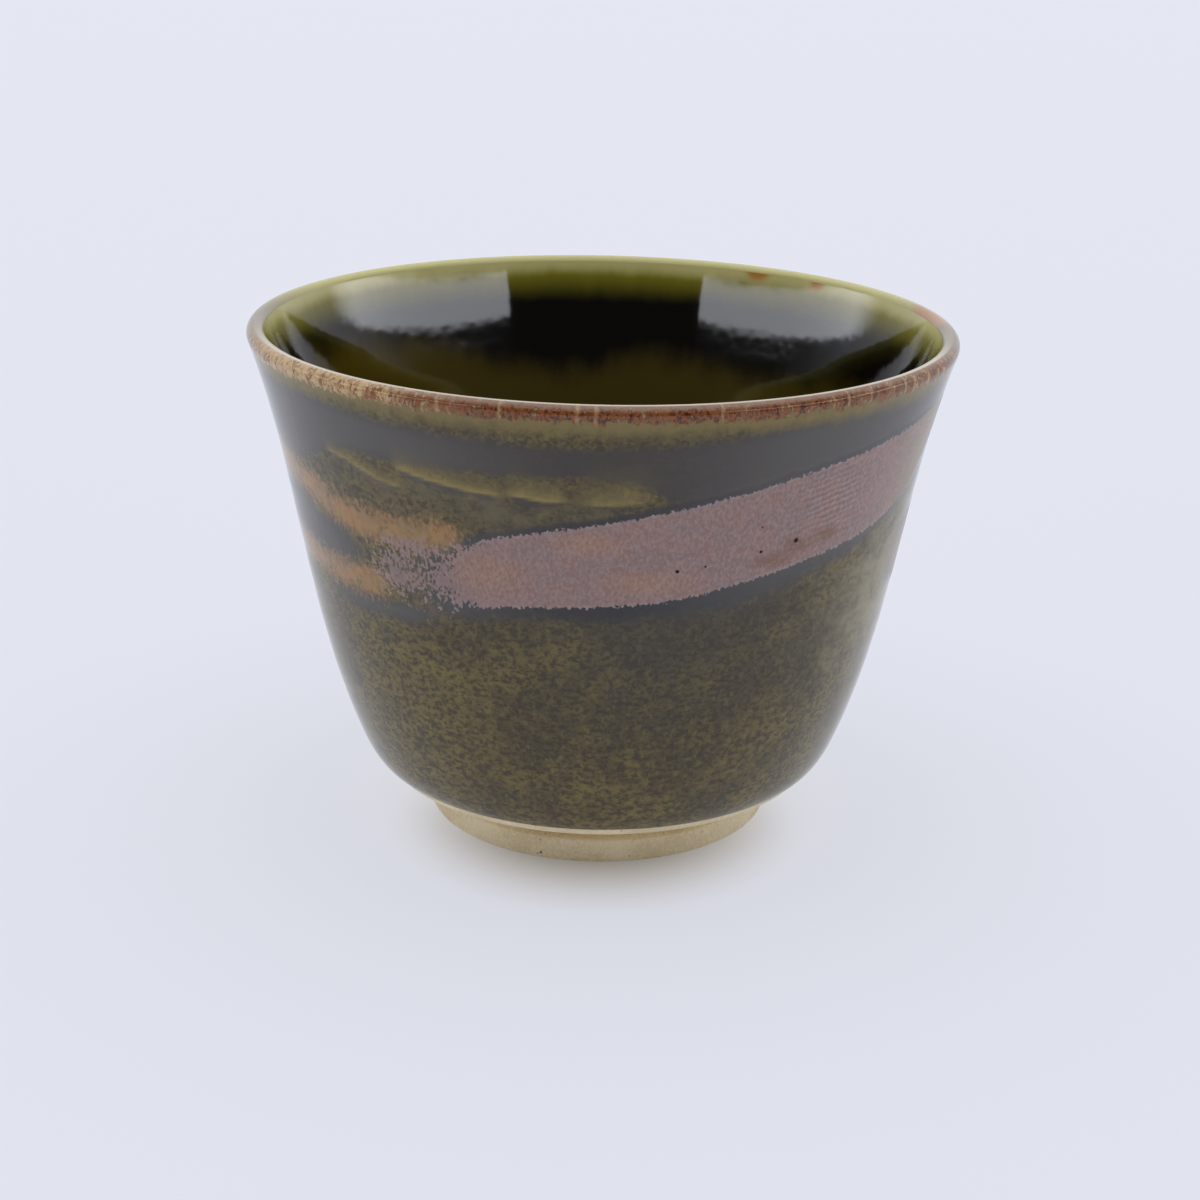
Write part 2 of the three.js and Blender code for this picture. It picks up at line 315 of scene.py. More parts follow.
class CupSizes(bpy.types.PropertyGroup):
    """Sizes of the finished cup, the same as its solids."""

    cup_height: length("Cup height", "From the table to the top of the lip", 64)
    rim_radius: length("Rim radius", "Outside radius at the lip, over the glaze", 44)
    rim_drop: length("Rim drop", "How much lower the rim's right side sits than its left", 0.76)
    haunch_radius: length("Haunch radius", "Outside radius where the wall meets the haunch", 31.4)
    haunch_height: length("Haunch height", "Height where the wall meets the haunch", 11.5)
    haunch_lean: angle("Haunch lean", "How far the wall leans out at the haunch", 21.7)
    haunch_turn_drop: length("Haunch turn", "How far the wall line runs on below the haunch", 2.7)
    lip_lean: angle("Lip lean", "How far the outside leans out at the lip", 18.5)
    lip_clay_width: length("Lip width", "Width of the clay lip under its glaze", 1.3)
    rim_coat_drop: length("Rim coat", "How far the brown coat runs down below the round lip", 0.9)
    wall_at_haunch: length("Wall", "Thickness of the glazed wall at the haunch", 4.6)
    floor_thickness: length("Floor", "Thickness of the glazed floor", 5.4)
    floor_radius: length("Floor radius", "Radius of the flat middle of the floor", 17)
    inner_curve_rise: length("Inner curve", "Height of the curve between floor and wall", 6.6)
    inner_low_lean: angle("Inner low lean", "How far the inside leans out above that curve", 17.5)
    inner_lip_lean: angle("Inner lip lean", "How far the inside leans out at the lip", 19.5)
    glaze: length("Glaze", "Thickness of the glaze coats", 0.45)
    glaze_edge: length("Glaze edge", "Thickness of the outer coat at its lower edge", 0.15)
    glaze_edge_radius: length("Glaze line radius", "Radius of the outer coat's lower edge", 29.2)
    glaze_edge_height: length("Glaze line height", "Height of the outer coat's lower edge", 7.8)
    ledge_radius: length("Ledge radius", "Radius of the bare ledge under the glaze line", 27.9)
    ledge_rise: length("Ledge rise", "Height of that ledge above the foot's seat", 1.6)
    foot_height: length("Foot height", "From the table to the foot's seat", 5)
    foot_radius: length("Foot radius", "Outside radius of the foot ring", 22.4)
    foot_draft: length("Foot draft", "How much the foot's wall draws in towards the table", 0.2)
    foot_round: length("Foot rounding", "Rounding of the foot's edges", 0.35)
    foot_wall: length("Foot wall", "Height of the foot's wall below its groove", 3.1)
    foot_ring_width: length("Foot ring width", "Width of the resting ring", 4.2)
    foot_well_draft: length("Foot well draft", "How much the well narrows upwards", -0.6)
    groove_depth: length("Groove depth", "Depth of the turned groove above the foot's wall", 1.2)
    groove_slope: length("Groove slope", "Drop of the groove's lower side", 0.4)
    throwing_ridge: length("Throwing ridge", "Half height of the throwing rings on the walls", 0.01)
    throwing_spacing: length("Throwing spacing", "Distance between the throwing rings", 6.5)
    turning_line: length("Turning line", "Half height of the tool lines on the bare clay", 0.015)
    turning_spacing: length("Turning spacing", "Distance between the tool lines", 0.6)
    wobble: length("Wobble", "How far the thrown wall wanders from a true round", 0.02)
    wobble_spacing: length("Wobble spacing", "Size of that wandering", 22)
    stroke_lift: length("Stroke lift", "How far a brushed stroke stands above the glaze", 0.03)
    stroke_margin: length("Stroke margin", "Width of the thin film round a brushed stroke", 1.6)
    stroke_body: length("Stroke body", "Thickness of a brushed stroke into the glaze", 0.15)
    facets: IntProperty(name="Facets", description="Steps round a glaze coat", default=440, min=24)
    lip_facets: IntProperty(name="Lip facets", description="Steps round the lip's coat", default=720, min=24)


class CupColours(bpy.types.PropertyGroup):
    """Colours of the clay, the glazes and the slip."""

    clay: colour("Clay", "Bare stoneware", "#EFE0BE")
    clay_shade: colour("Clay shade", "Coarser grains in the bare stoneware", "#DCCAA4")
    iron_speck: colour("Iron speck", "Iron specks in the bare clay", "#7B6646")
    olive_dark: colour("Dark olive", "Darkest mottle of the olive glaze", "#332810")
    olive_mid: colour("Olive", "Body of the olive glaze", "#534622")
    olive_light: colour("Light olive", "Lightest mottle, where the glaze ran thin", "#79692E")
    slate: colour("Slate", "Slate-dark bands of the glaze", "#383330")
    # Slate painted paler round to the sides, as a painted reflection.
    slate_pale: colour("Pale slate", "Slate bands round to the sides", "#7F7C78")
    slate_blue: colour("Blue slate", "Dark blue-grey edge round a stroke", "#2B2B2F")
    olive_grey: colour("Grey olive", "Smoother glaze between the streaks and the stroke", "#665C42")
    olive_pale: colour("Pale olive", "Milky thin glaze at the right, under the stroke", "#978C66")
    streak: colour("Streak", "Thin yellow streaks above the stroke", "#9A8748")
    fringe: colour("Fringe", "Yellow fringe under the lip", "#80703E")
    ochre: colour("Ochre", "Tan tracks of the dry brush", "#B48E5A")
    slip: colour("Slip", "Dusty rose of the brushed stroke", "#9A7B74")
    slip_mauve: colour("Mauve slip", "Greyer places in the brushed stroke", "#8C7876")
    slip_warm: colour("Warm slip", "Pinker, lighter places in the brushed stroke", "#A5806D")
    slip_brown: colour("Brown slip", "Browner places in the brushed stroke", "#85604E")
    slip_grain: colour("Slip grain", "Pale grains along the stroke's edge", "#A9A09F")
    rust: colour("Rust", "Rust-brown glaze over the lip", "#8A5028")
    rust_dark: colour("Dark rust", "Darkest line of the lip", "#47200B")
    rust_tan: colour("Tan rust", "Tan breaks in the lip's glaze", "#D4B480")
    lip_top: colour("Lip top", "Greyish top of the lip", "#96785C")
    lip_cream: colour("Cream lip", "Thin pale line along the inside of the lip", "#DACBB2")
    lip_orange: colour("Orange lip", "Orange places just inside the back lip", "#C4863C")
    lip_rosy: colour("Rosy lip", "Rosy places on the lip at the right and back", "#C59A72")
    # A painted highlight on the lip at its left and right ends.
    lip_beige: colour("Beige lip", "Lip at the left and right ends", "#8E8268")
    lip_green: colour("Green lip", "Yellow-green lip at the back", "#D3CB84")
    liner_green: colour("Liner green", "Liner where it is thin, near the lip", "#948A24")
    liner_olive: colour("Liner olive", "Liner low in the cup", "#4D400F")
    liner_dark: colour("Liner dark", "Liner where it is thick", "#0C0904")
    # Near black: burnt clay, and the painted shade of a pinhole's depth on a flat bead.
    pinhole: colour("Pinhole", "Burnt bottom of a pinhole", "#050403")


class StudioSettings(bpy.types.PropertyGroup):
    """Camera, floor and light."""

    camera_distance: length("Camera distance", "From the cup's axis, forwards", 264.2)
    camera_height: length("Camera height", "Above the table", 120.9)
    camera_pitch: angle("Camera pitch", "How far the camera looks down", 19.6)
    camera_roll: angle("Camera roll", "How far the camera leans over", 0.73)
    lens: amount("Lens", "Focal length on the sensor below", 64.524, unit="CAMERA")
    sensor: amount("Sensor", "Width of the camera's sensor", 36, unit="CAMERA")
    floor_radius: length("Floor radius", "Radius of the pale floor", 40000)
    floor_colour: colour("Floor", "Pale floor", "#86888E")
    # The floor's glow is painted light that lifts the shadows on it; the shade settings below dim it round
    # the cup in a painted contact shadow.
    floor_glow: amount("Floor glow", "Light that comes up through the floor", 0.605)
    shade_forward: length("Shade forward", "How far before the axis the floor's shade has its middle", 10)
    shade_from: length("Shade from", "Distance from that middle where the shade is deepest", 6)
    shade_to: length("Shade to", "Distance from that middle where the shade ends", 28)
    shade_least: amount("Least glow", "Share of the glow left in the deepest shade", 0.15, max=1)
    # Painted warm bounce light from the bare clay, laid into the glow where the painted contact shadow dims
    # it.
    painted_bounce_colour: colour("Shade", "Warm glow next to the bare clay", "#FFEFD6")
    backdrop: colour("Backdrop", "What the camera sees above the floor", "#E0E4EF")
    panel_colour: colour("Panel", "Colour of the two soft boxes", "#F4F6FF")
    panel_strength: amount("Panel strength", "Brightness of the soft boxes", 4.3)
    sweep_strength: amount("Sweep strength", "Brightness of the pale sweep behind", 0.86)
    sweep_from: angle("Sweep from", "Turn from the front where the sweep starts", 72)
    sweep_to: angle("Sweep to", "Turn from the front where the sweep is full", 122)
    fill_strength: amount("Fill strength", "Brightness of the dim room in front", 0.05)
    top_strength: amount("Top strength", "Brightness of the wide light overhead", 1.35)
    top_low: angle("Top low", "Height angle where the light overhead starts", 28)
    top_high: angle("Top high", "Height angle where the light overhead is full", 62)
    panel_from: angle("Panel from", "Turn from the front where each soft box starts", 38)
    panel_to: angle("Panel to", "Turn from the front where each soft box ends", 111)
    panel_low: angle("Panel low", "Height angle of a soft box's lower edge, at its front end", 20.6)
    panel_drop: amount("Panel drop", "Drop of that edge for each turn", 0.14)
    panel_span: angle("Panel span", "Height angle from a soft box's lower edge to its upper edge", 5.0)
    panel_edge: angle("Panel edge", "Softness of a soft box's edges", 1)
    panel_fade: angle("Panel fade", "Softness of a soft box's far end", 16)


def add_node(tree, kind, inputs=None, **settings):
    """Add a node with its settings, and a value or a link for each input named, and give its outputs."""
    node = tree.nodes.new(kind)
    for key, value in settings.items():
        setattr(node, key, value)
    for key, value in (inputs or {}).items():
        if isinstance(value, bpy.types.NodeSocket):
            tree.links.new(value, node.inputs[key])
        else:
            node.inputs[key].default_value = value
    return node.outputs


def new_tree(name, kind, sockets):
    """A node tree with the group sockets that it is given."""
    tree = bpy.data.node_groups.new(name, kind)
    for socket, direction, socket_kind in sockets:
        tree.interface.new_socket(socket, in_out=direction, socket_type="NodeSocket" + socket_kind)
    return tree


def level_direction(tree, place):
    """The level direction from the cup's axis out to a place."""
    add = partial(add_node, tree)
    flat = add("ShaderNodeVectorMath", {0: place, 1: (1, 1, 0)}, operation="MULTIPLY")[0]
    return add("ShaderNodeVectorMath", {0: flat}, operation="NORMALIZE")[0]


def finish_tree(tree, geometry, material):
    """End a geometry tree with real geometry in its material."""
    add = partial(add_node, tree)
    plain = add("GeometryNodeRealizeInstances", {0: geometry})[0]
    add("NodeGroupOutput", {0: add("GeometryNodeSetMaterial", {0: plain, "Material": material})[0]})
    return tree


def run_tree(piece, tree, **values):
    """Run a geometry tree on a piece, and keep the result as the piece's plain mesh."""
    modifier = piece.modifiers.new(tree.name, "NODES")
    modifier.node_group = tree
    for item in tree.interface.items_tree:
        if item.in_out == "INPUT" and item.name in values:
            modifier[item.identifier] = values[item.name]
    keep_evaluated(piece)


def keep_evaluated(piece):
    """Replace a piece's mesh and modifiers by the mesh that they give."""
    evaluated = piece.evaluated_get(bpy.context.evaluated_depsgraph_get())
    mesh = bpy.data.meshes.new_from_object(evaluated)
    mesh.name = piece.name
    piece.modifiers.clear()
    piece.data = mesh


def turned_shell_tree():
    """Turn a profile of radius and height about the cup's axis, with the hand's wobble and the lean."""
    tree = new_tree("turned shell", "GeometryNodeTree", (
        ("Profile", "INPUT", "Geometry"), ("Facets", "INPUT", "Int"), ("Wobble", "INPUT", "Float"),
        ("Wobble Spacing", "INPUT", "Float"), ("Seed", "INPUT", "Float"), ("Rim Slope", "INPUT", "Float"),
        ("Material", "INPUT", "Material"), ("Geometry", "OUTPUT", "Geometry")))
    add = partial(add_node, tree)
    given = add("NodeGroupInput")
    rows = add("GeometryNodeAttributeDomainSize", {0: given["Profile"]}, component="MESH")[0]
    columns = add("FunctionNodeIntegerMath", {0: given["Facets"], 1: 1}, operation="ADD")[0]
    grid = add("GeometryNodeMeshGrid", {"Vertices X": columns, "Vertices Y": rows})["Mesh"]
    index = add("GeometryNodeInputIndex")[0]
    column = add("FunctionNodeIntegerMath", {0: index, 1: rows}, operation="DIVIDE_FLOOR")[0]
    row = add("FunctionNodeIntegerMath", {0: index, 1: rows}, operation="MODULO")[0]
    place = add("GeometryNodeInputPosition")[0]
    point = add("GeometryNodeSampleIndex", {"Geometry": given["Profile"], "Value": place, "Index": row},
                data_type="FLOAT_VECTOR", domain="POINT")[0]
    share = add("ShaderNodeMath", {0: column, 1: given["Facets"]}, operation="DIVIDE")[0]
    turn = add("ShaderNodeMath", {0: share, 1: math.tau}, operation="MULTIPLY")[0]
    round_place = add("ShaderNodeVectorRotate", {"Vector": point, "Angle": turn},
                      rotation_type="Z_AXIS")[0]
    scale = add("ShaderNodeMath", {0: 1.0, 1: given["Wobble Spacing"]}, operation="DIVIDE")[0]
    noise = add("ShaderNodeTexNoise", {"Vector": round_place, "W": given["Seed"], "Scale": scale,
                                       "Detail": 1.0}, noise_dimensions="4D")[0]
    swing = add("ShaderNodeMapRange", {0: noise, 3: -1.0, 4: 1.0})[0]
    push = add("ShaderNodeMath", {0: swing, 1: given["Wobble"]}, operation="MULTIPLY")[0]
    outwards = level_direction(tree, round_place)
    shift = add("ShaderNodeVectorMath", {0: outwards, "Scale": push}, operation="SCALE")[0]
    moved = add("ShaderNodeVectorMath", {0: round_place, 1: shift}, operation="ADD")[0]
    parts = add("ShaderNodeSeparateXYZ", {0: moved})
    lean = add("ShaderNodeMath", {0: parts["X"], 1: given["Rim Slope"]}, operation="MULTIPLY")[0]
    stand = add("ShaderNodeMath", {0: 1.0, 1: lean}, operation="SUBTRACT")[0]
    height = add("ShaderNodeMath", {0: parts["Z"], 1: stand}, operation="MULTIPLY")[0]
    final = add("ShaderNodeCombineXYZ", {0: parts["X"], 1: parts["Y"], 2: height})[0]
    placed = add("GeometryNodeSetPosition", {"Geometry": grid, "Position": final})[0]
    closed = add("GeometryNodeMergeByDistance", {0: placed, "Distance": MERGE})[0]
    smooth = add("GeometryNodeSetShadeSmooth", {0: closed})[0]
    return finish_tree(tree, smooth, given["Material"])


def stroke_tree():
    """Lift the part of the wall that a stroke covers: a film that sinks into the glaze round it."""
    tree = new_tree("brushed stroke", "GeometryNodeTree", (
        ("Geometry", "INPUT", "Geometry"), ("Wall", "INPUT", "Object"), ("Mark", "INPUT", "String"),
        ("Margin", "INPUT", "Float"), ("Lift", "INPUT", "Float"), ("Material", "INPUT", "Material"),
        ("Geometry", "OUTPUT", "Geometry")))
    add = partial(add_node, tree)
    given = add("NodeGroupInput")
    wall = add("GeometryNodeObjectInfo", {"Object": given["Wall"]})["Geometry"]
    mark = add("GeometryNodeInputNamedAttribute", {"Name": given["Mark"]}, data_type="FLOAT")[0]
    outer = add("ShaderNodeMath", {0: given["Margin"], 1: -1 / MM}, operation="MULTIPLY")[0]
    chosen = add("FunctionNodeCompare", {0: mark, 1: outer}, data_type="FLOAT",
                 operation="GREATER_THAN")[0]
    film = add("GeometryNodeSeparateGeometry", {0: wall, 1: chosen}, domain="POINT")[0]
    sunk = add("ShaderNodeMath", {0: given["Lift"], 1: STROKE_SUNK}, operation="MULTIPLY")[0]
    rise = add("ShaderNodeMapRange", {0: mark, 1: outer, 2: STROKE_INSIDE, 3: sunk, 4: given["Lift"]},
               interpolation_type="SMOOTHSTEP")[0]
    normal = add("GeometryNodeInputNormal")[0]
    offset = add("ShaderNodeVectorMath", {0: normal, "Scale": rise}, operation="SCALE")[0]
    lifted = add("GeometryNodeSetPosition", {"Geometry": film, "Offset": offset})[0]
    return finish_tree(tree, lifted, given["Material"])


def bead_tree():
    """Set a small flattened bead, round or shrunk, on every point that it is given, facing outwards."""
    tree = new_tree("wall beads", "GeometryNodeTree", (
        ("Points", "INPUT", "Geometry"), ("Flatness", "INPUT", "Float"), ("Lean", "INPUT", "Float"),
        ("Material", "INPUT", "Material"), ("Geometry", "OUTPUT", "Geometry")))
    add = partial(add_node, tree)
    given = add("NodeGroupInput")
    ball = add("GeometryNodeMeshUVSphere", {"Segments": 14, "Rings": 8, "Radius": 1.0})["Mesh"]
    shape = add("ShaderNodeCombineXYZ", {0: 1.0, 1: 1.0, 2: given["Flatness"]})[0]
    bead = add("GeometryNodeTransform", {"Geometry": ball, "Scale": shape})[0]
    place = add("GeometryNodeInputPosition")[0]
    outwards = level_direction(tree, place)
    sink = add("ShaderNodeCombineXYZ", {2: given["Lean"]})[0]
    facing = add("ShaderNodeVectorMath", {0: outwards, 1: sink}, operation="SUBTRACT")[0]
    turned = add("FunctionNodeAlignRotationToVector", {"Vector": facing}, axis="Z")[0]
    size = add("GeometryNodeInputNamedAttribute", {"Name": "bead_radius"}, data_type="FLOAT")[0]
    copies = add("GeometryNodeInstanceOnPoints", {"Points": given["Points"], "Instance": bead,
                                                  "Rotation": turned, "Scale": size})[0]
    smooth = add("GeometryNodeSetShadeSmooth", {0: copies})[0]
    return finish_tree(tree, smooth, given["Material"])


def bezier(points, steps):
    """Points along a curve of two or three spans' pull, as rows of radius and height."""
    along = np.linspace(0, 1, steps + 1)[:, None]
    degree = len(points) - 1
    return sum(math.comb(degree, k) * along ** k * (1 - along) ** (degree - k) * np.array(p)
               for k, p in enumerate(points))


def wall_points(low, low_lean, high, high_lean):
    """Control points of a wall line that leans out by these angles at its two ends."""
    third = (high[1] - low[1]) / 3
    after_low = (low[0] + third * math.tan(low_lean), low[1] + third)
    before_high = (high[0] - third * math.tan(high_lean), high[1] - third)
    return low, after_low, before_high, high


def lip_shape(sizes):
    """Radius and centre of the half round lip over its glaze, and its two end angles."""
    radius = sizes.lip_clay_width / 2 + sizes.glaze
    centre = (sizes.rim_radius - radius, sizes.cup_height - radius)
    return radius, centre, -sizes.lip_lean, math.pi - sizes.inner_lip_lean


def lip_points(sizes, steps):
    """Points over the half round lip, from outside to inside."""
    radius, centre, start, end = lip_shape(sizes)
    angles = np.linspace(start, end, steps + 1)
    return np.column_stack((centre[0] + radius * np.cos(angles), centre[1] + radius * np.sin(angles)))


def throwing_rings(sizes, line):
    """The finger's rings on a wall, fading out towards both ends of the line."""
    along = np.linspace(0, 1, len(line))
    swing = np.sin(line[:, 1] / sizes.throwing_spacing * math.tau) * sizes.throwing_ridge
    return line + np.column_stack((swing * np.sin(along * math.pi), np.zeros(len(line))))


def outside_lines(sizes):
    """The olive coat's outside from the glaze line up, and the rest of the wall under the brown coat."""
    shoulder = tuple(lip_points(sizes, 1)[0])
    haunch = (sizes.haunch_radius, sizes.haunch_height)
    edge = (sizes.glaze_edge_radius, sizes.glaze_edge_height)
    pull = (haunch[0] - sizes.haunch_turn_drop * math.tan(sizes.haunch_lean),
            haunch[1] - sizes.haunch_turn_drop)
    wall = bezier(wall_points(haunch, sizes.haunch_lean, shoulder, sizes.lip_lean), WALL_STEPS)
    wall = throwing_rings(sizes, wall)
    top = np.searchsorted(wall[:, 1], shoulder[1] - sizes.rim_coat_drop)
    turn = bezier((edge, pull, haunch), HAUNCH_STEPS)[:-1]
    return np.vstack((turn, wall[:top + 1])), wall[top:]


def inside_line(sizes):
    """The liner's surface from the lip's inner shoulder down to the middle of the floor."""
    floor = sizes.foot_height + sizes.floor_thickness
    low_height = floor + sizes.inner_curve_rise
    low_radius = sizes.haunch_radius - sizes.wall_at_haunch
    low_radius += (low_height - sizes.haunch_height) * math.tan(sizes.inner_low_lean)
    low = (low_radius, low_height)
    pull = (low_radius - sizes.inner_curve_rise * math.tan(sizes.inner_low_lean), floor)
    shoulder = tuple(lip_points(sizes, 1)[-1])
    ends = wall_points(low, sizes.inner_low_lean, shoulder, sizes.inner_lip_lean)
    wall = throwing_rings(sizes, bezier(ends, INNER_WALL_STEPS))[::-1]
    turn = bezier((low, pull, (sizes.floor_radius, floor)), INNER_CURVE_STEPS)[1:]
    middle = bezier(((sizes.floor_radius, floor), (0, floor)), INNER_FLOOR_STEPS)[1:]
    return np.vstack((wall, turn, middle))


def clay_under(line, thickness):
    """The clay surface under a finished line, square to it."""
    along = np.gradient(line, axis=0)
    along /= np.linalg.norm(along, axis=1)[:, None]
    under = line + np.column_stack((-along[:, 1], along[:, 0])) * np.reshape(thickness, (-1, 1))
    under[line[:, 0] == 0, 0] = 0
    return under


def coat_loop(line, thickness):
    """Closed profile of a coat: its surface, and the clay side back again with fewer points."""
    back = clay_under(line, thickness)[::-1]
    inner = np.vstack((back[:-1:CLAY_SIDE_THINNING], back[-1:]))
    closing = line[:1] if line[-1, 0] > 0 else line[:0]
    after_start = line[:1] + (line[1:2] - line[:1]) * CRISP
    before_end = line[-1:] + (line[-2:-1] - line[-1:]) * CRISP
    return np.vstack((line[:1], after_start, line[1:-1], before_end, line[-1:], inner, closing))


def tool_lines(sizes, line):
    """Bare clay as the turning tool left it: fine lines square to the profile."""
    steps = np.linalg.norm(np.diff(line, axis=0), axis=1)
    along = np.concatenate(([0], np.cumsum(steps)))
    along /= sizes.turning_spacing
    swing = np.sin(along * math.tau) + np.sin(along * SLOW_WAVE)
    return clay_under(line, swing * sizes.turning_line)


def evenly(corners, spacing):
    """Points along straight stretches, with every corner kept."""
    runs = [np.array(corners[:1])]
    for start, end in zip(np.array(corners[:-1]), np.array(corners[1:])):
        count = max(1, math.ceil(np.linalg.norm(end - start) / spacing))
        runs.append(start + (end - start) * np.linspace(0, 1, count + 1)[1:, None])
    return np.vstack(runs)


def rounded(before, corner, after, size):
    """Points that round a corner off."""
    ends = []
    for side in (before, after):
        way = np.array(side) - np.array(corner)
        ends.append(np.array(corner) + way * size / np.linalg.norm(way))
    return [tuple(p) for p in bezier((ends[0], corner, ends[1]), ROUND_STEPS)]


def face_outwards(mesh):
    """Turn a closed mesh's faces round if they point into it."""
    mesh.calc_loop_triangles()
    corners = np.empty(len(mesh.loop_triangles) * 3, np.int32)
    mesh.loop_triangles.foreach_get("vertices", corners)
    a, b, c = vertex_places(mesh)[corners].reshape(-1, 3, 3).transpose(1, 0, 2)
    if np.einsum("ij,ij->", a, np.cross(b, c)) < 0:
        mesh.flip_normals()


def vertex_places(mesh):
    """Every vertex as a row of x, y and z."""
    places = np.empty(len(mesh.vertices) * 3)
    mesh.vertices.foreach_get("co", places)
    return places.reshape(-1, 3)


def rim_slope(sizes):
    """Share of its height that a point loses for each metre to the right."""
    return sizes.rim_drop / (2 * sizes.rim_radius * sizes.cup_height)


def wall_places(sizes, mesh):
    """Turn in degrees, height before the lean in millimetres, and radius in millimetres."""
    x, y, z = vertex_places(mesh).T
    turn = np.degrees(np.arctan2(x, -y))
    return turn, z / (1 - rim_slope(sizes) * x) / MM, np.hypot(x, y) / MM


def new_piece(name, points=()):
    """An object at the origin, with these points as its mesh."""
    mesh = bpy.data.meshes.new(name)
    mesh.from_pydata([tuple(p) for p in points], [], [])
    piece = bpy.data.objects.new(name, mesh)
    bpy.context.scene.collection.objects.link(piece)
    return piece


def turned_piece(sizes, name, profile, material, facets, wobble):
    """A closed piece turned from a profile of radius and height."""
    piece = new_piece(name, [(radius, 0, height) for radius, height in profile])
    run_tree(piece, bpy.data.node_groups.get("turned shell") or turned_shell_tree(), **{
        "Facets": facets, "Wobble": wobble, "Wobble Spacing": sizes.wobble_spacing, "Seed": SEED,
        "Rim Slope": rim_slope(sizes), "Material": material})
    face_outwards(piece.data)
    return piece


def stand_for(piece, node):
    """Let a finished piece ride on the cup and stand for its solid, once it is seen to fit."""
    bpy.context.view_layer.update()
    places = vertex_places(piece.data)
    for mine, solid in zip((places.min(0), places.max(0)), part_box(node)):
        if max(abs(a - b) for a, b in zip(mine, solid)) > FIT:
            raise RuntimeError(f"{piece.name} doesn't fit its solid {node}: {list(mine)} {list(solid)}")
    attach(piece, BODY)
    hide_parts(node)


def store_marks(mesh, marks):
    """Keep each mark as a value at every point of a mesh."""
    for name, values in marks.items():
        layer = mesh.attributes.new(name, "FLOAT", "POINT")
        layer.data.foreach_set("value", np.asarray(values, np.float32))


def ease(low, high, value):
    """Smooth step from 0 at low to 1 at high."""
    share = np.clip((value - low) / (high - low), 0, 1)
    return share * share * (3 - 2 * share)


def over(points, turn, spread=3.0):
    """Height of a line over the turn, with its corners eased."""
    turns, heights = zip(*points)
    nudges = np.linspace(-spread, spread, NUDGES)
    return np.mean([np.interp(turn + nudge, turns, heights) for nudge in nudges], axis=0)


def spot(place, turn, height):
    """Soft spot round a place on the wall."""
    at_turn, at_height, half_turn, half_height = place
    return np.exp(-((turn - at_turn) / half_turn) ** 2 - ((height - at_height) / half_height) ** 2)


def end_fade(points, turn, first, last):
    """1 along a line, fading to 0 at its two ends over so many degrees."""
    start, end = points[0][0], points[-1][0]
    return ease(start, start + first, turn) * ease(end, end - last, turn)


def past_end(turn, start, end):
    """Millimetres past the nearer end of a stroke."""
    return np.maximum(np.maximum(start - turn, turn - end), 0) * ARC


def stroke_marks(turn, height):
    """How deep each place lies inside each stroke, in millimetres, and its height over the middle."""
    top, bottom = over(FRONT_TOP, turn), over(FRONT_BOTTOM, turn)
    beyond = past_end(turn, FRONT_TOP[0][0], FRONT_TOP[-1][0])
    front = np.minimum(top - height, height - bottom) - beyond
    round_turn, bearing = np.mod(turn, 360), np.radians(turn)
    middle = over(BACK_MIDDLE, round_turn)
    half = over(BACK_HALF_WIDTH, round_turn)
    for count, size in HAND_WAVER:
        middle = middle + size * np.sin(count * bearing)
        half = half + size * np.cos(count * bearing)
    round_end = BACK_HALF_WIDTH[0][1] / ARC
    beyond = past_end(round_turn, BACK_MIDDLE[0][0] + round_end, BACK_MIDDLE[-1][0] - round_end)
    back = half - np.hypot(beyond, height - middle)
    return front, back, height - (top + bottom) / 2, height - middle


def brightest(places, turn, height):
    """The strongest of several soft spots."""
    return np.max([spot(place, turn, height) for place in places], axis=0)


def along_lines(lines, ends, turn, height):
    """The strongest of several soft lines, each with its half width."""
    return np.max([np.exp(-((height - over(points, turn)) / half) ** 2) * end_fade(points, turn, *ends)
                   for points, half in lines], axis=0)


def on_sides(places, turn):
    """The strongest of several stretches of the turn."""
    return np.max([strength * np.prod([ease(*stretch, turn) for stretch in stretches], axis=0)
                   for strength, *stretches in places], axis=0)


def streak_marks(turn, height):
    """The yellow streaks, and the painted shade under the lower edge of each."""
    streaks, streak_shades = [], []
    for points, strength, fade in STREAKS:
        above = height - np.interp(turn, *zip(*points))
        ends = strength * end_fade(points, turn, STREAK_END * fade, STREAK_END * fade)
        for found, way in ((streaks, above), (streak_shades, -above)):
            found.append(ends * ease(-STREAK_EDGE, STREAK_EDGE, way) * np.exp(-np.maximum(way, 0) / fade))
    return np.max(streaks, axis=0), np.max(streak_shades, axis=0)


